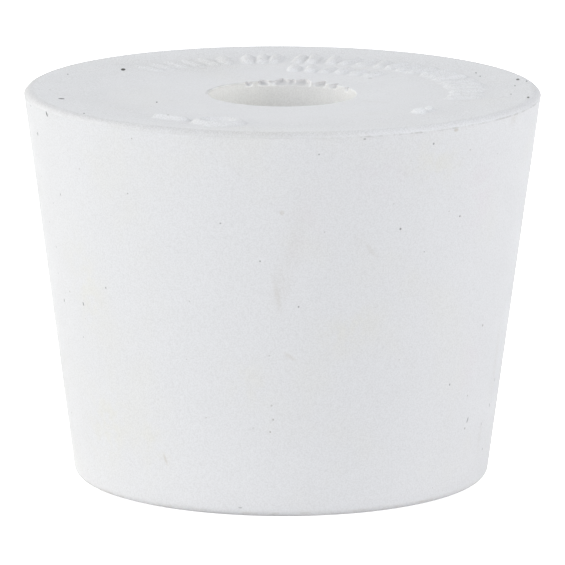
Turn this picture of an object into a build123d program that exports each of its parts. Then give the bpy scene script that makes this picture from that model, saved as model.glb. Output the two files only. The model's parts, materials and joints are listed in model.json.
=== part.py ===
from build123d import *
from math import asin, cos, degrees, hypot, radians, sin, sqrt
import os

# A one-hole laboratory stopper, moulded in one piece from white rubber.
# Frame: origin at the centre of the bottom face, +Z up the bore to the wide end.
# Lengths are in millimetres, angles in degrees from +X towards +Y.

# The plug
height = 25.5           # bottom face to the crown, the highest ring of the top face
top_diameter = 33.6     # across the edge of the rim
bottom_diameter = 27.0  # where the taper meets the plane of the bottom face
bore_diameter = 9.6     # straight all the way through

# Its faces and edges
rim_drop = 0.35         # the rim's edge lies this far below the crown
rim_roll = 0.55         # the crown curves down over this width to meet it
top_dish = 0.4          # the top face sinks this far below the crown at the bore
bottom_round = 0.6      # radius of the outer edge of the bottom face
lip_round = 0.15        # radius of the lip at each end of the bore

# Raised marks on the top face, cut into the mould with a round-nosed cutter
mark_width = 0.8        # across a bar
mark_height = 0.3       # above the face around it

# Outer row: bars that point at the bore
outer_row_inset = 4.8   # rim's edge to the middle of the row
outer_bar_length = 2.6
outer_row_start = -12.0
outer_row_sweep = 120.0
outer_bar_count = 22

# Inner row: shorter bars that point at the bore
row_spacing = 3.1       # outer row to inner row
inner_bar_length = 1.9
inner_row_start = 48.0
inner_row_sweep = 37.0
inner_bar_count = 6

# A bar and a ring side by side
sign_inset = 3.8        # rim's edge to the middle of both
sign_bar_length = 2.6
sign_bar_angle = 237.0
sign_ring_diameter = 2.6
sign_ring_angle = 252.0

# Two round pips side by side
pip_inset = 5.0         # rim's edge to the middle of both
pip_diameter = 1.1
small_pip_diameter = 0.7
pip_angle = 318.0
small_pip_angle = 323.0

rim_radius = top_diameter / 2
bottom_radius = bottom_diameter / 2
bore_radius = bore_diameter / 2
crown_radius = rim_radius - rim_roll
outer_row_radius = rim_radius - outer_row_inset
inner_row_radius = outer_row_radius - row_spacing
cutter_radius = mark_width / 2

# The dish is part of a ball that touches the crown and the edge of the bore
ball_above_crown = (crown_radius**2 - bore_radius**2 - top_dish**2) / (2 * top_dish)
ball_centre = height + ball_above_crown
ball_radius = hypot(crown_radius, ball_above_crown)


def plug():
    """The tapered plug: half of its section, turned once about the bore's axis."""
    rim_edge = (rim_radius, height - rim_drop)
    crown = (crown_radius, height)
    mouth = (bore_radius, height - top_dish)
    outline = Polyline(mouth, (bore_radius, 0), (bottom_radius, 0), rim_edge)
    outline += TangentArc(crown, rim_edge, tangent=(1, 0))
    outline += RadiusArc(crown, mouth, ball_radius)
    section = Plane.XZ * make_face(outline)
    return round_edges(revolve(section, Axis.Z))


def round_edges(solid):
    """Rounds the bottom face's outer edge and the bore's two lips."""
    circles = solid.edges().filter_by(GeomType.CIRCLE)
    bottom_edge = circles.group_by(Axis.Z)[0].sort_by(SortBy.RADIUS)[-1]
    solid = fillet(bottom_edge, bottom_round)
    circles = solid.edges().filter_by(GeomType.CIRCLE)
    lips = circles.filter_by(lambda edge: abs(edge.radius - bore_radius) < 1e-6)
    return fillet(lips, lip_round)


def face_height(radius):
    """Height of the dished face at a radius."""
    return ball_centre - sqrt(ball_radius**2 - radius**2)


def round_bar(length):
    """A bar along X with round ends and a round back, its axis at the height of the face."""
    half = length / 2 - cutter_radius
    outline = Line((-half, cutter_radius), (half, cutter_radius))
    outline += TangentArc((half, cutter_radius), (half + cutter_radius, 0), tangent=(1, 0))
    outline += Line((half + cutter_radius, 0), (-half - cutter_radius, 0))
    outline += TangentArc((-half, cutter_radius), (-half - cutter_radius, 0), tangent=(-1, 0))
    return sunk(revolve(make_face(outline), Axis.X))


def round_ring(diameter):
    """A ring with a round back."""
    return sunk(Torus(diameter / 2, cutter_radius))


def sunk(shape):
    """Lowers a shape of the cutter's radius until it stands up by a mark's height."""
    return Pos(0, 0, mark_height - cutter_radius) * shape


def pip(diameter):
    """A low round dome on a stub that reaches into the face."""
    dome_radius = (diameter**2 / 4 + mark_height**2) / (2 * mark_height)
    dome = Pos(0, 0, mark_height - dome_radius) * Sphere(dome_radius)
    stub = Cylinder(diameter / 2, 3 * mark_height)
    return dome & stub


def on_top(shape, radius, angle, turn=0.0):
    """Lays a mark on the dished face; a bar with turn 0 points at the bore."""
    slope = degrees(asin(radius / ball_radius))
    spot = Pos(radius * cos(radians(angle)), radius * sin(radians(angle)), face_height(radius))
    return spot * Rot(0, 0, angle) * Rot(0, -slope, 0) * Rot(0, 0, turn) * shape


def row(bar, radius, start, sweep, count):
    """Copies of one bar, spread evenly along an arc about the bore."""
    step = sweep / (count - 1)
    return [on_top(bar, radius, start + step * i) for i in range(count)]


def marks():
    """Every raised mark on the top face."""
    sign_radius = rim_radius - sign_inset
    pip_radius = rim_radius - pip_inset
    outer_bar = round_bar(outer_bar_length)
    inner_bar = round_bar(inner_bar_length)
    shapes = row(outer_bar, outer_row_radius, outer_row_start, outer_row_sweep, outer_bar_count)
    shapes += row(inner_bar, inner_row_radius, inner_row_start, inner_row_sweep, inner_bar_count)
    shapes.append(on_top(round_bar(sign_bar_length), sign_radius, sign_bar_angle, 90))
    shapes.append(on_top(round_ring(sign_ring_diameter), sign_radius, sign_ring_angle))
    shapes.append(on_top(pip(pip_diameter), pip_radius, pip_angle))
    shapes.append(on_top(pip(small_pip_diameter), pip_radius, small_pip_angle))
    return shapes


os.makedirs("parts", exist_ok=True)
stopper = plug() + marks()
export_step(stopper, "parts/stopper.step")
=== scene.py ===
import json
from math import atan2, cos, degrees, hypot, pi, radians, sin

import bpy
import numpy as np
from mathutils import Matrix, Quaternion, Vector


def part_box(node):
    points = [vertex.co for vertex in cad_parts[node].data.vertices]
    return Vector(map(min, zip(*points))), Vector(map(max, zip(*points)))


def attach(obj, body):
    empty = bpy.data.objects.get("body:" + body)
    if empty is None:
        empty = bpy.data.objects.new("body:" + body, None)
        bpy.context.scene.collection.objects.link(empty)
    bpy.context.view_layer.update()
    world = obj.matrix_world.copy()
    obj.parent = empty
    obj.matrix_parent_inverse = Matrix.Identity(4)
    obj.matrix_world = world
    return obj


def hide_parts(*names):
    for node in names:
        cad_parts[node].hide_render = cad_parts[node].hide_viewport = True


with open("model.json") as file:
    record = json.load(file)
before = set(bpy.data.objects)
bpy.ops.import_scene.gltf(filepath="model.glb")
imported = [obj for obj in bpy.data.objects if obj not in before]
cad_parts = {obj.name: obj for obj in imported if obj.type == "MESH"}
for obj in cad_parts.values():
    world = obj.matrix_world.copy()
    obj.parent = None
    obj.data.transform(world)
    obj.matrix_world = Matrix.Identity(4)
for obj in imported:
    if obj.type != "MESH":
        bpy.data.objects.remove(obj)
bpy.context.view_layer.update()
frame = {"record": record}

scene = bpy.context.scene

# ---------------------------------------------------------------------------
# The stopper: one tapered plug of white rubber, pressed in a two-part mould. The
# mould's body gives the taper, its lid the wide face with the raised marks, and
# a core pin through both leaves the bore. It is used, and a little dirty.
# ---------------------------------------------------------------------------
MM = 0.001              # lengths are in millimetres until the mesh is made
bore = next(m for m in frame["record"]["mounts"] if m["name"] == "bore")
bore_radius = bore["dims"]["r_mm"]
rim_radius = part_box("stopper")[1].x / MM
bottom_radius = 13.5
lip_round = 0.15        # of the bore's two lips, past the ends of its straight wall
lip_edge = 0.06         # what is left of that round where the pin was pulled
bottom_round = 0.6      # outer edge of the narrow face
top_dish = 0.4          # sink of the wide face at the bore, where the rubber shrank most
rim_drop = 0.35         # from the crown of the wide face down to the parting line
rim_roll = 0.55         # width of that curve
flash_height = 0.02     # thin ridge of rubber that crept into the parting line
flash_width = 0.07
close_rows = 0.7        # the rows lie closer together this far down the bore

mouth_height = bore["pos_m"][2] / MM + bore["dims"]["length_mm"] / 2 + lip_round
crown_height = mouth_height + top_dish
crown_radius = rim_radius - rim_roll
parting_height = crown_height - rim_drop
ball_above_crown = (crown_radius**2 - bore_radius**2 - top_dish**2) / (2 * top_dish)
ball_radius = hypot(crown_radius, ball_above_crown)


def face_height(radius):
    """Height of the dished face: the lower side of a ball centred on the axis above it."""
    return crown_height + ball_above_crown - np.sqrt(ball_radius**2 - radius**2)


def arc(centre, radius, start, end, count):
    """Points of the section on a circle: centre plus radius times (cos t, sin t), with t in
    even steps from start to end degrees."""
    t = np.radians(np.linspace(start, end, count))
    return np.stack([centre[0] + radius * np.cos(t), centre[1] + radius * np.sin(t)], 1)


def straight(start, end, count):
    """Points of the section between two given ones, both left out."""
    t = np.linspace(0, 1, count + 2)[1:-1, None]
    return (1 - t) * np.array(start) + t * np.array(end)


def plug_section():
    """The closed outline of half the plug as rows of (radius, height), from the lower lip of
    the bore out along the narrow face, up the taper, over the rim, in across the dished face
    and down the bore."""
    side_radius = rim_radius - flash_height
    lean = atan2(parting_height, side_radius - bottom_radius)
    setback = bottom_round / np.tan((pi - lean) / 2)
    edge_centre = (bottom_radius - setback, bottom_round)
    low_lip = arc((bore_radius + lip_edge, lip_edge), lip_edge, 180, 270, 4)
    edge = arc(edge_centre, bottom_round, 270, 270 + degrees(lean), 7)
    below_parting = np.linspace(-3, 0, 7) * flash_width
    flash_radius = side_radius + below_parting / np.tan(lean)
    flash = np.stack([flash_radius, parting_height + below_parting], 1)
    roll_width = rim_roll - flash_height
    steepest = 2 * atan2(rim_drop, roll_width)
    roll_radius = roll_width / sin(steepest)
    roll_centre = (crown_radius, crown_height - roll_radius)
    roll = arc(roll_centre, roll_radius, 90 - degrees(steepest), 90, 11)[1:]
    face_radius = np.linspace(crown_radius, bore_radius + lip_edge, 74)[1:]
    face = np.stack([face_radius, face_height(face_radius)], 1)
    high_lip_centre = (bore_radius + lip_edge, face[-1, 1] - lip_edge)
    high_lip = arc(high_lip_centre, lip_edge, 90, 180, 5)[1:]
    wall_break = (bore_radius, mouth_height - close_rows)
    upper_wall = straight(high_lip[-1], wall_break, 8)
    lower_wall = straight(wall_break, low_lip[0], 6)
    narrow_face = straight(low_lip[-1], edge[0], 4)
    taper = straight(edge[-1], flash[0], 36)
    parts = [low_lip, narrow_face, edge, taper, flash, roll, face, high_lip, upper_wall, lower_wall]
    return np.concatenate(parts)


def wander(angle, seed, slowest, fastest):
    """A smooth closed curve between about -1 and 1: cosines of whole numbers of waves round
    the axis, each with its own phase and a size that falls with its number."""
    draw = np.random.default_rng(seed)
    waves = np.arange(slowest, fastest + 1)
    size = draw.uniform(0.5, 1, len(waves)) / np.sqrt(waves)
    phase = draw.uniform(0, 2 * pi, len(waves))
    total = (size * np.cos(waves * angle[..., None] + phase)).sum(-1)
    return total / np.sqrt((size**2).sum())


columns = 600
rows = plug_section()
angle = np.linspace(0, 2 * pi, columns, endpoint=False)[None, :]
radius = rows[:, :1] + 0 * angle
height = rows[:, 1:] + 0 * angle
angle = angle + 0 * radius
on_face = (rows[:, 1] > mouth_height - 0.02) & (rows[:, 0] < crown_radius)
on_face = on_face[:, None] * np.ones(columns)

# The marks were cut into the mould's lid with a round-nosed cutter, so they stand up as
# soft bars. The last bars of the outer row hardly filled, and only their ghosts show.
mark_width = 0.8
mark_height = 0.29
mark_root = 0.05        # the foot of a mark runs out into the face over this width
outer_row_radius = rim_radius - 4.8
outer_bar_length = 2.6
outer_bar_angles = np.linspace(-12, 108, 22)
inner_row_radius = outer_row_radius - 3.1
inner_bar_length = 1.9
inner_bar_angles = np.linspace(48, 85, 6)
bar_fill = (0.6, 0.95)  # how well the mould filled at a bar, from worst to best
ghost_length = 2.4
ghost_angles = np.arange(114, 140, 5.7)
ghost_share = 0.45      # of the height that a filled bar has
bar_wander = 0.7        # how unevenly a bar was placed round the row, in degrees
bar_lean = 9            # and how unevenly it was turned
sign_radius = rim_radius - 3.8
sign_bar_length = 2.6
sign_bar_angle = 237
sign_ring_diameter = 2.6
sign_ring_angle = 252
pip_radius = rim_radius - 5.0
pip_angle = 318
pip_diameter = 1.1
small_pip_angle = 323
small_pip_diameter = 0.7


def across(x, y, mark_radius, mark_angle, turn=0.0):
    """Places seen from a mark: along its length and across it, its middle at zero."""
    t = radians(mark_angle)
    u = x * cos(t) + y * sin(t) - mark_radius
    v = y * cos(t) - x * sin(t)
    s = radians(turn)
    return u * cos(s) + v * sin(s), v * cos(s) - u * sin(s)


def soft_ridge(distance):
    """Height over a ridge's spine: a cosine hump to the power 0.4, zero at its foot."""
    reach = mark_width / 2 + mark_root
    return mark_height * (0.5 + 0.5 * np.cos(pi * np.clip(distance / reach, 0, 1))) ** 0.4


def bar_relief(x, y, length, mark_radius, mark_angle, turn=0.0):
    """A bar: the hump of the distance to a straight spine shorter than it by its width."""
    u, v = across(x, y, mark_radius, mark_angle, turn)
    past_end = np.maximum(np.abs(u) - (length - mark_width) / 2, 0)
    return soft_ridge(np.hypot(past_end, v))


def ring_relief(x, y, diameter, mark_radius, mark_angle):
    """A ring: the hump of the distance to a circle."""
    u, v = across(x, y, mark_radius, mark_angle)
    return soft_ridge(np.abs(np.hypot(u, v) - diameter / 2))


def pip_relief(x, y, diameter, mark_radius, mark_angle):
    """A dome: the upper half of a ball pressed flat, over the distance to its middle."""
    u, v = across(x, y, mark_radius, mark_angle)
    return mark_height * np.sqrt(np.clip(1 - (2 * np.hypot(u, v) / diameter) ** 2, 0, 1))


def face_relief(x, y):
    """Height of the marks above the face: the highest of all of them at each place."""
    draw = np.random.default_rng(4)
    relief = np.zeros_like(x)
    for turn_angle in outer_bar_angles:
        turn_angle = turn_angle + draw.normal(0, bar_wander)
        length = outer_bar_length * draw.uniform(0.8, 1)
        bar = bar_relief(x, y, length, outer_row_radius, turn_angle, draw.normal(0, bar_lean))
        relief = np.maximum(relief, bar * draw.uniform(*bar_fill))
    for turn_angle in inner_bar_angles:
        length = inner_bar_length * draw.uniform(0.85, 1)
        bar = bar_relief(x, y, length, inner_row_radius, turn_angle, draw.normal(0, bar_lean))
        relief = np.maximum(relief, bar * draw.uniform(*bar_fill))
    for turn_angle in ghost_angles:
        lean = draw.normal(0, bar_lean)
        ghost = bar_relief(x, y, ghost_length, outer_row_radius, turn_angle, lean)
        relief = np.maximum(relief, ghost_share * ghost)
    sign_bar = bar_relief(x, y, sign_bar_length, sign_radius, sign_bar_angle, 90)
    relief = np.maximum(relief, sign_bar)
    sign_ring = ring_relief(x, y, sign_ring_diameter, sign_radius, sign_ring_angle)
    relief = np.maximum(relief, sign_ring)
    relief = np.maximum(relief, pip_relief(x, y, pip_diameter, pip_radius, pip_angle))
    small_pip = pip_relief(x, y, small_pip_diameter, pip_radius, small_pip_angle)
    return np.maximum(relief, small_pip)


relief = on_face * face_relief(radius * np.cos(angle), radius * np.sin(angle))
height = height + relief

# The ridge of flash at the parting line comes and goes, and the taper isn't quite round.
flash_shape = np.exp(-(((rows[:, 1:] - parting_height) / flash_width) ** 2))
flash_shape = flash_shape * (rows[:, :1] > crown_radius)
flash_amount = np.clip(0.4 + 0.45 * wander(angle, 11, 5, 60), 0, 1)
radius = radius + flash_height * flash_shape * flash_amount

unevenness = 0.012      # of the taper
on_taper = np.clip((parting_height - 0.5 - rows[:, 1:]) / 4, 0, 1) * np.clip(rows[:, 1:] / 4, 0, 1)
on_taper = on_taper * (rows[:, :1] > bore_radius + 1)
swell = wander(angle + 0.05 * height, 21, 3, 14) * np.sin(0.5 * height + 1.3 * wander(angle, 22, 1, 4))
radius = radius + unevenness * on_taper * (swell - 1)

# At the far side of the wide mouth the core pin tore small bites out of the lip.
bite_angles = [104, 90, 83, 75, 60, 47, 30, 117]
bite_widths = [0.55, 0.8, 0.35, 0.8, 0.6, 0.45, 0.3, 0.35]
bite_depths = [0.7, 1.1, 0.6, 1.1, 0.8, 0.6, 0.3, 0.35]
bite_floor = 0.28       # how far down the bore they reach
bite_step = 0.1         # and over what height they end
bite_spread = 1.8       # how far out over the wide face they fade
raggedness = 0.06       # of the lip between and in the bites
torn_middle = 78
torn_reach = 30         # to each side of that angle


def lip_bites(angle):
    """How far the torn lip stands back: the sum of a bell exp(-s^2) of arc length for each
    bite, as high as the bite is deep."""
    total = np.zeros_like(angle)
    for middle, width, depth in zip(bite_angles, bite_widths, bite_depths):
        along = (np.degrees(angle) - middle) * pi / 180 * bore_radius
        total = total + depth * np.exp(-((2 * along / width) ** 2))
    return total


torn_part = np.exp(-(((np.degrees(angle) - torn_middle) / torn_reach) ** 4))
ragged = raggedness * wander(angle, 31, 30, 110) * torn_part
past_lip = np.clip((radius - bore_radius - lip_edge) / bite_spread, 0, 1) * on_face
below = np.clip((mouth_height - rows[:, 1:] - bite_floor) / bite_step + 1, 0, 1) * (1 - on_face)
near_lip = (np.abs(rows[:, 1:] - mouth_height) < 0.6) & (rows[:, :1] < bore_radius + 2)
bite = np.maximum(lip_bites(angle) + ragged, 0) * near_lip * (1 - past_lip) * (1 - below)
radius = radius + bite

# Soft stains: faint yellow, pink and brown areas, left by hands and by what the stopper has
# plugged, and on the wide face a stippled area; then painted highlights: two pale pips and a paler edge.
outer_side = (rows[:, :1] > bore_radius + 1) & (rows[:, 1:] < parting_height + 0.01)


def side_stains(stains):
    """The strongest of several bells exp(-(u^2 + v^2)) on the taper. Each stain has a place,
    as an angle and a height, then a width and a height, a lean in degrees and a strength."""
    total = np.zeros_like(angle)
    for turn_angle, up, wide, tall, lean, strength in stains:
        sideways = (np.mod(angle - radians(turn_angle) + pi, 2 * pi) - pi) * radius
        upward = height - up
        s, c = sin(radians(lean)), cos(radians(lean))
        u = (sideways * c + upward * s) / (wide / 2)
        v = (upward * c - sideways * s) / (tall / 2)
        total = np.maximum(total, strength * np.exp(-u * u - v * v))
    return total * outer_side


def face_stains(stains):
    """The same on the wide face: an angle and a radius, then a width from left to right, a
    depth from front to back, and a strength."""
    total = np.zeros_like(angle)
    for turn_angle, out, wide, deep, strength in stains:
        u = (radius * np.cos(angle) - out * cos(radians(turn_angle))) / (wide / 2)
        v = (radius * np.sin(angle) - out * sin(radians(turn_angle))) / (deep / 2)
        total = np.maximum(total, strength * np.exp(-u * u - v * v))
    return total * on_face


yellow = side_stains([
    (216, 14.0, 3.0, 6.0, 10, 0.6),
    (218, 5.0, 4.0, 5.0, -20, 0.7),
    (234, 4.5, 3.5, 3.5, 0, 0.5),
    (287, 12.4, 4.0, 2.2, 25, 0.6),
    (306, 23.0, 4.0, 2.5, 0, 0.6),
    (262, 9.0, 3.0, 3.0, 0, 0.4),
])
pink = side_stains([
    (293, 22.3, 3.0, 2.5, 0, 0.6),
    (321, 20.5, 3.0, 5.0, 0, 0.7),
    (326, 9.0, 2.5, 3.5, 0, 0.6),
    (276, 19.5, 2.5, 5.0, -15, 0.4),
])
brown = side_stains([
    (272.5, 18.0, 1.1, 4.6, -14, 0.10),
    (269.5, 15.5, 0.9, 2.8, -10, 0.15),
    (271, 15.2, 0.5, 1.8, -20, 0.12),
    (289, 18.1, 0.6, 1.5, 60, 0.12),
    (332, 24.9, 0.8, 0.5, 0, 0.25),
    (342, 8.5, 0.5, 4.0, 4, 0.16),
    (337, 3.5, 0.5, 1.6, 0, 0.16),
])
stippled = face_stains([(118, 10.6, 5.0, 5.0, 1.0), (135, 13.3, 5.0, 3.0, 0.8)])
# Painted highlights: the two pips and a patch right of the bore are made paler, and the wide face a
# touch paler all over, most at its edge.
painted_highlights = face_stains([
    (pip_angle, pip_radius, 0.9, 1.4, 0.7),
    (small_pip_angle, pip_radius, 0.6, 1.0, 0.5),
    (0, 5.9, 2.6, 7, 0.14),
])
painted_highlights = np.maximum(painted_highlights, on_face * (0.07 + 0.15 * np.clip((radius - 13) / 3, 0, 1)))


def grid_mesh(name, radius, angle, height):
    """A closed surface from rows of rings: point (row, column) is at radius, angle and height,
    and each four neighbours make a face that looks out of the solid, round both ways."""
    points = np.stack([radius * np.cos(angle), radius * np.sin(angle), height], 2) * MM
    count, around = radius.shape
    number = np.arange(count * around).reshape(count, around)
    right = np.roll(number, -1, 1)
    above = np.roll(number, -1, 0)
    faces = np.stack([number, right, np.roll(right, -1, 0), above], 2).reshape(-1, 4)
    mesh = bpy.data.meshes.new(name)
    mesh.from_pydata(points.reshape(-1, 3), [], faces.tolist())
    mesh.polygons.foreach_set("use_smooth", np.ones(len(faces), bool))
    mesh.update()
    return mesh


def point_value(mesh, name, values):
    """Stores a number for each point of the mesh, for its material to read."""
    attribute = mesh.attributes.new(name, "FLOAT", "POINT")
    attribute.data.foreach_set("value", values.astype(np.float32).ravel())


plug_mesh = grid_mesh("moulded_stopper", radius, angle, height)
# How much painted shade each bite gets: by its depth, on the lip and the top of the bore.
bite_shade_depth = np.clip((rows[:, 1:] - mouth_height + 0.45) / 0.2, 0, 1)
bite_shade_depth = bite_shade_depth * (rows[:, :1] < bore_radius + lip_edge)
point_value(plug_mesh, "painted_bite_shade", np.clip(lip_bites(angle) / 0.5, 0, 1) * bite_shade_depth)
point_value(plug_mesh, "yellow", yellow)
point_value(plug_mesh, "pink", pink)
point_value(plug_mesh, "brown", brown)
point_value(plug_mesh, "stippled", stippled)
point_value(plug_mesh, "painted_highlights", painted_highlights)
plug = bpy.data.objects.new("moulded_stopper", plug_mesh)
scene.collection.objects.link(plug)

# White rubber, filled with chalk and titanium white: matt, with a fine grain, faint
# blotches, thin scratches, dark specks and a broken line of dirt at the parting line.
rubber = bpy.data.materials.new("white_rubber")
rubber.use_nodes = True
tree = rubber.node_tree
tree.nodes.clear()


def node(kind, inputs=None, **settings):
    """Adds a node, sets its own settings, and sets or links each named or numbered input."""
    made = tree.nodes.new(kind)
    for key, value in settings.items():
        setattr(made, key, value)
    for key, value in (inputs or {}).items():
        if isinstance(value, bpy.types.NodeSocket):
            tree.links.new(value, made.inputs[key])
        else:
            made.inputs[key].default_value = value
    return made


def maths(operation, a, b=0.0):
    """The result of a Math node."""
    return node("ShaderNodeMath", {0: a, 1: b}, operation=operation).outputs[0]


def ramp(value, low, high, start=0.0, end=1.0):
    """A value turned into start at low and end at high, and held beyond them."""
    inputs = {"Value": value, "From Min": low, "From Max": high, "To Min": start, "To Max": end}
    return node("ShaderNodeMapRange", inputs, interpolation_type="SMOOTHSTEP").outputs[0]


def tint(amount, below, colour):
    """Colour mixed over what is below by an amount."""
    inputs = {"Factor": amount, 6: below, 7: (*colour, 1)}
    return node("ShaderNodeMix", inputs, data_type="RGBA").outputs[2]


def noise(vector, scale, detail=2.0, rough=0.5):
    """Smooth noise with the given number of bumps in a millimetre."""
    inputs = {"Vector": vector, "Scale": scale, "Detail": detail, "Roughness": rough}
    return node("ShaderNodeTexNoise", inputs).outputs["Fac"]


metres = node("ShaderNodeTexCoord").outputs["Object"]
place = node("ShaderNodeVectorMath", {0: metres, "Scale": 1 / MM}, operation="SCALE").outputs[0]
split = node("ShaderNodeSeparateXYZ", {0: place})
x_mm, y_mm, z_mm = split.outputs


def stored(name):
    """A number stored for each point of the mesh."""
    return node("ShaderNodeAttribute", attribute_name=name).outputs["Fac"]


def blot(at, turn, half_sizes, strength, edge=0.6):
    """A soft-edged ellipsoid: strength inside, falling to nothing over its outer part."""
    inputs = {"Vector": place, "Location": at, "Rotation": turn, "Scale": half_sizes}
    seen_from = node("ShaderNodeMapping", inputs, vector_type="TEXTURE").outputs[0]
    away = node("ShaderNodeVectorMath", {0: seen_from}, operation="LENGTH").outputs["Value"]
    return ramp(away, 1 + edge / 2, 1 - edge / 2, 0, strength)


def on_side(turn_angle, up, wide, tall, lean, strength, edge=0.6):
    """A blot on the taper, at an angle round the axis and a height."""
    turned = radians(turn_angle)
    out = bottom_radius + (rim_radius - bottom_radius) * up / parting_height
    at = (out * cos(turned), out * sin(turned), up)
    return blot(at, (radians(lean), 0, turned), (1.5, wide / 2, tall / 2), strength, edge)


def on_top(turn_angle, out, wide, deep, strength, edge=0.6):
    """A blot on the wide face, its width from left to right and its depth from front to back."""
    turned = radians(turn_angle)
    at = (out * cos(turned), out * sin(turned), crown_height)
    return blot(at, (0, 0, 0), (wide / 2, deep / 2, 1.0), strength, edge)


def most(kind, blots):
    """The strongest at each place of several blots of a kind."""
    result = kind(*blots[0])
    for numbers in blots[1:]:
        result = maths("MAXIMUM", result, kind(*numbers))
    return result


reach = maths("SQRT", maths("ADD", maths("MULTIPLY", x_mm, x_mm), maths("MULTIPLY", y_mm, y_mm)))

white = (0.775, 0.764, 0.764)
cream = (0.768, 0.748, 0.69)
rose = (0.765, 0.728, 0.742)
umber = (0.52, 0.46, 0.38)
grime_and_shade = (0.30, 0.27, 0.24)
soot_and_shadow = (0.03, 0.026, 0.022)

grain = noise(place, 5.0, 2.0, 0.6)
pores = noise(place, 11.0, 1.0, 0.5)
cloud = noise(place, 0.9, 3.0, 0.65)
colour = tint(ramp(noise(place, 0.16, 3.0, 0.6), 0.50, 0.75, 0, 0.25), (*white, 1), cream)

# The soft stains, broken up by the cloudy noise, then some thin brown scratches.
patchy = ramp(cloud, 0.35, 0.65)
colour = tint(maths("MULTIPLY", stored("yellow"), patchy), colour, cream)
colour = tint(maths("MULTIPLY", stored("pink"), patchy), colour, rose)
colour = tint(maths("MULTIPLY", stored("brown"), ramp(grain, 0.3, 0.7, 0.5, 1.0)), colour, umber)
scratches = most(on_side, [
    (269, 14.8, 0.3, 1.8, 14, 0.14, 1.6),
    (291, 17.6, 0.25, 1.2, 40, 0.14, 1.6),
    (272, 10.8, 0.25, 0.9, 55, 0.2, 1.4),
    (270, 20.3, 0.3, 0.3, 0, 0.28, 1.0),
    (311, 25.0, 0.35, 0.2, 0, 0.5, 0.8),
    (238, 3.4, 0.15, 0.7, 20, 0.35, 1.2),
])
colour = tint(scratches, colour, umber)

# Painted light: the bore's wall is made paler, most on its left, and the painted highlights make the
# pips paler.
painted_bore_light = maths("LESS_THAN", reach, bore_radius + 0.05)
painted_bore_light = maths("MULTIPLY", painted_bore_light, ramp(x_mm, 1.5, -2.5, 0.45, 1))
colour = tint(painted_bore_light, colour, (0.90, 0.888, 0.855))
colour = tint(stored("painted_highlights"), colour, (0.92, 0.92, 0.92))

# The grain of the compound, and a stippled area on the wide face.
coarser = ramp(z_mm, parting_height, crown_height - 0.1, 1.0, 1.9)
colour = tint(maths("MULTIPLY", ramp(pores, 0.3, 0.75, 0, 0.13), coarser), colour, grime_and_shade)
colour = tint(ramp(grain, 0.50, 0.8, 0, 0.07), colour, grime_and_shade)
colour = tint(maths("MULTIPLY", stored("stippled"), ramp(pores, 0.4, 0.6, 0.02, 0.16)), colour, grime_and_shade)

# Specks of soot: the ones that stand out, one by one, then fine scattered ones. One faint spot on the
# wide face is a painted shadow behind a mark.
spots = most(on_side, [
    (206, 25.0, 0.16, 0.36, 25, 0.84),
    (198, 23.3, 0.11, 0.24, 5, 0.84),
    (195, 25.0, 0.13, 0.15, 0, 0.53),
    (328, 5.1, 0.13, 0.38, -20, 0.48),
    (298, 18.9, 0.15, 0.15, 0, 0.62),
    (305, 24.3, 0.13, 0.14, 0, 0.53),
    (213, 12.8, 0.11, 0.24, 10, 0.70),
    (202, 12.5, 0.11, 0.22, 0, 0.62),
    (315, 19.2, 0.12, 0.13, 0, 0.53),
    (223, 14.3, 0.11, 0.13, 0, 0.53),
    (265, 17.1, 0.11, 0.11, 0, 0.48),
    (318, 7.9, 0.11, 0.15, 0, 0.53),
    (342, 5.4, 0.12, 0.26, 0, 0.44),
    (274, 14.1, 0.11, 0.12, 0, 0.53),
    (278, 24.1, 0.11, 0.11, 0, 0.44),
    (288, 25.0, 0.18, 0.10, 0, 0.44),
    (256, 19.5, 0.11, 0.11, 0, 0.44),
    (208, 19.8, 0.10, 0.17, 0, 0.48),
    (201, 16.0, 0.10, 0.14, 0, 0.44),
    (233, 20.9, 0.10, 0.10, 0, 0.40),
    (341, 2.5, 0.12, 0.17, 0, 0.44),
    (211, 10.5, 0.10, 0.10, 0, 0.40),
    (305, 17.2, 0.09, 0.10, 0, 0.35),
    (259, 0.6, 0.25, 0.10, 0, 0.35),
    (198, 17.5, 0.08, 0.12, 0, 0.44),
    (196, 20.4, 0.08, 0.10, 0, 0.40),
    (200, 14.2, 0.08, 0.10, 0, 0.40),
    (203, 19.0, 0.08, 0.09, 0, 0.35),
    (344, 7.0, 0.10, 0.26, -10, 0.40),
    (337, 4.4, 0.08, 0.21, 15, 0.35),
])
colour = tint(spots, colour, soot_and_shadow)
spots = most(on_top, [
    (144, 13.0, 0.30, 0.8, 1.0, 0.4),
    (196, 14.8, 0.40, 0.4, 0.85, 0.4),
    (13, 15.8, 0.22, 0.6, 0.8),
    (348, 16.2, 0.15, 0.6, 0.85),
    (10, 16.2, 0.11, 0.4, 0.7),
    (27, 14.3, 0.11, 0.4, 0.6),
    (22, 14.0, 0.10, 0.4, 0.5),
    (353, 14.9, 0.10, 0.4, 0.5),
    (5, 15.2, 0.10, 0.4, 0.55),
    (218, 16.0, 0.11, 0.4, 0.6),
    (206, 9.0, 0.11, 0.45, 0.8),
    (160, 15.0, 0.10, 0.4, 0.5),
    # Painted shadow: a faint dark spot just behind a mark, not a speck.
    (44, 8.0, 0.30, 0.5, 0.18, 1.0),
])
colour = tint(spots, colour, soot_and_shadow)


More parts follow.
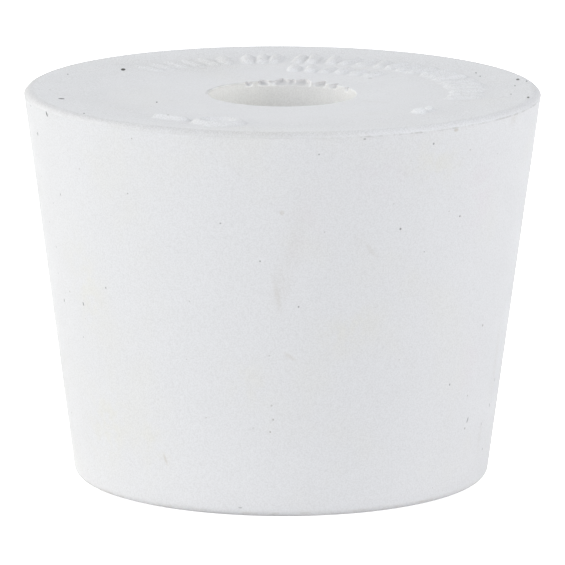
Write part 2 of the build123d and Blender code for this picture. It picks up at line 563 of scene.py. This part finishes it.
def specks(size, scale, share, seed):
    """Round specks: in each Voronoi cell, the disc nearer to its point than its own size,
    and only in the given share of the cells."""
    moved = node("ShaderNodeVectorMath", {0: place, 1: (seed, seed, seed)}, operation="ADD")
    cells = node("ShaderNodeTexVoronoi", {"Vector": moved.outputs[0], "Scale": scale})
    pick = node("ShaderNodeSeparateXYZ", {0: cells.outputs["Color"]})
    kept = maths("LESS_THAN", pick.outputs[0], share)
    own_size = ramp(pick.outputs[1], 0, 1, 0.4 * size * scale, size * scale)
    disc = maths("LESS_THAN", cells.outputs["Distance"], own_size)
    strength = ramp(pick.outputs[2], 0, 1, 0.15, 0.6)
    return maths("MULTIPLY", maths("MULTIPLY", kept, disc), strength)


colour = tint(specks(0.08, 0.9, 0.5, 3.0), colour, grime_and_shade)
colour = tint(specks(0.10, 0.5, 0.35, 9.0), colour, umber)

# The rim's edge, a little greyer on its left half, fading out towards the right.
greyer_rim_edge = ramp(reach, crown_radius - 0.1, crown_radius + 0.3)
greyer_rim_edge = maths("MULTIPLY", greyer_rim_edge, maths("GREATER_THAN", z_mm, parting_height))
greyer_rim_edge = maths("MULTIPLY", greyer_rim_edge, ramp(x_mm, 9.0, 0.0))
colour = tint(maths("MULTIPLY", greyer_rim_edge, ramp(cloud, 0.3, 0.7, 0.09, 0.16)), colour, grime_and_shade)

# Dirt caught at the parting line, most of it at the front right.
seam = ramp(maths("ABSOLUTE", maths("SUBTRACT", z_mm, parting_height)), 0.08, 0.02)
seam = maths("MULTIPLY", seam, maths("GREATER_THAN", reach, crown_radius))
broken = ramp(noise(place, 1.4, 3.0, 0.7), 0.42, 0.62, 0.06, 0.34)
front_right = maths("MULTIPLY", ramp(x_mm, 1, 6, 0.12, 1), ramp(y_mm, -2, -5, 0.15, 1))
colour = tint(maths("MULTIPLY", maths("MULTIPLY", seam, broken), front_right), colour, grime_and_shade)
# A faint, broken brown line round the foot, just above the narrow face.
low_edge = ramp(maths("ABSOLUTE", maths("SUBTRACT", z_mm, 0.25)), 0.12, 0.03)
colour = tint(maths("MULTIPLY", low_edge, ramp(cloud, 0.45, 0.6, 0, 0.25)), colour, umber)
# Painted shade: a thin dark line at the far left of the bore's lip, where it turns down into the bore.
lip = ramp(maths("ABSOLUTE", maths("SUBTRACT", reach, bore_radius + 0.1)), 0.16, 0.05)
lip = maths("MULTIPLY", lip, maths("GREATER_THAN", z_mm, mouth_height - 0.12))
far_left = maths("MULTIPLY", ramp(x_mm, 1, -1), ramp(y_mm, -1, 0.5))
lip = maths("MULTIPLY", lip, far_left)
colour = tint(maths("MULTIPLY", lip, ramp(cloud, 0.4, 0.6, 0.15, 0.35)), colour, grime_and_shade)
# Painted shade in the torn bites, darkening them as if their walls were in shadow.
colour = tint(ramp(stored("painted_bite_shade"), 0, 1, 0, 0.22), colour, grime_and_shade)

fine = node("ShaderNodeBump", {"Strength": 0.35, "Distance": 0.02 * MM, "Height": grain}).outputs[0]
roughness = ramp(noise(place, 0.5), 0.3, 0.7, 0.55, 0.68)
shader = node("ShaderNodeBsdfPrincipled", {"Base Color": colour, "Normal": fine, "Roughness": roughness})
shader.inputs["Specular IOR Level"].default_value = 0.3
node("ShaderNodeOutputMaterial", {"Surface": shader.outputs[0]})

plug_mesh.materials.append(rubber)
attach(plug, "root")
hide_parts("stopper")

# ---------------------------------------------------------------------------
# The studio: a floor of white paper, which looks white apart from the shadow, and
# five soft boxes: behind on the left, in front on the left, in front, on the
# right, and a bluish one higher up.
# ---------------------------------------------------------------------------
def is_looked_at():
    """1 for rays that come from the camera, or out of a shiny or a clear surface, else 0."""
    path = node("ShaderNodeLightPath").outputs
    either = maths("MAXIMUM", path["Is Camera Ray"], path["Is Glossy Ray"])
    return maths("MAXIMUM", either, path["Is Transmission Ray"])


floor_half = 3.0
floor_drop = 0.00001    # keeps the paper just clear of the narrow face
floor_mesh = bpy.data.meshes.new("floor")
floor_corners = [(-1, -1), (1, -1), (1, 1), (-1, 1)]
floor_points = [(floor_half * x, floor_half * y, -floor_drop) for x, y in floor_corners]
floor_mesh.from_pydata(floor_points, [], [(0, 1, 2, 3)])
floor = bpy.data.objects.new("floor", floor_mesh)
scene.collection.objects.link(floor)
paper = bpy.data.materials.new("white_paper")
paper.use_nodes = True
tree = paper.node_tree
tree.nodes.clear()
matt = node("ShaderNodeBsdfDiffuse", {"Color": (0.84, 0.84, 0.84, 1)}).outputs[0]
glow = node("ShaderNodeEmission", {"Color": (1, 1, 1, 1), "Strength": 0.8}).outputs[0]
seen = node("ShaderNodeAddShader", {0: matt, 1: glow}).outputs[0]
mixed = node("ShaderNodeMixShader", {0: is_looked_at(), 1: matt, 2: seen}).outputs[0]
node("ShaderNodeOutputMaterial", {"Surface": mixed})
floor_mesh.materials.append(paper)

box_distance = 0.7
box_side = 0.5


def soft_box(name, azimuth, elevation, watts, colour):
    """A square lamp that looks at the middle of the stopper. Azimuth 0 is the camera's side
    and 90 the right."""
    lamp = bpy.data.lights.new(name, "AREA")
    lamp.size = box_side
    lamp.energy = watts
    lamp.color = colour
    holder = bpy.data.objects.new(name, lamp)
    a, e = radians(azimuth), radians(elevation)
    away = np.array([sin(a) * cos(e), -cos(a) * cos(e), sin(e)])
    holder.location = away * box_distance + np.array([0, 0, crown_height / 2 * MM])
    holder.rotation_euler = (pi / 2 - e, 0, a)
    scene.collection.objects.link(holder)


soft_box("left_box", -120, 25, 2.4, (1.0, 0.995, 0.955))
soft_box("front_left_box", -60, 25, 1.52, (1.0, 0.995, 0.95))
soft_box("front_box", 0, 25, 1.66, (0.975, 0.985, 1.0))
soft_box("right_box", 90, 22, 3.05, (0.965, 0.98, 1.0))
soft_box("high_box", -45, 55, 1.27, (0.80, 0.88, 1.0))

world = bpy.data.worlds.new("studio")
scene.world = world
world.use_nodes = True
tree = world.node_tree
tree.nodes.clear()
looked_at = is_looked_at()
ambient = 0.17
strength = node("ShaderNodeMapRange", {"Value": looked_at, "To Min": ambient, "To Max": 1.0}).outputs[0]
sky = tint(looked_at, (0.82, 0.90, 1.0, 1), (1.0, 1.0, 1.0))
lit = node("ShaderNodeBackground", {"Color": sky, "Strength": strength}).outputs[0]
node("ShaderNodeOutputWorld", {0: lit})

# The camera looks down a little from far off, with a long lens.
camera_distance = 465.5 * MM
camera_focal_length = 454.2
camera_elevation = radians(11.4)
camera_roll = radians(0.21)
aim = np.array([0.05, 0, crown_height / 2 - 0.17]) * MM
lens = bpy.data.cameras.new("camera")
lens.sensor_width = 36.0
lens.lens = camera_focal_length
lens.clip_start = 0.01
camera = bpy.data.objects.new("camera", lens)
camera.location = aim + camera_distance * np.array([0, -cos(camera_elevation), sin(camera_elevation)])
camera.rotation_mode = "QUATERNION"
look = Vector((0, cos(camera_elevation), -sin(camera_elevation))).to_track_quat("-Z", "Y")
camera.rotation_quaternion = look @ Quaternion((0, 0, 1), camera_roll)
scene.collection.objects.link(camera)
scene.camera = camera
scene.view_settings.view_transform = "Standard"
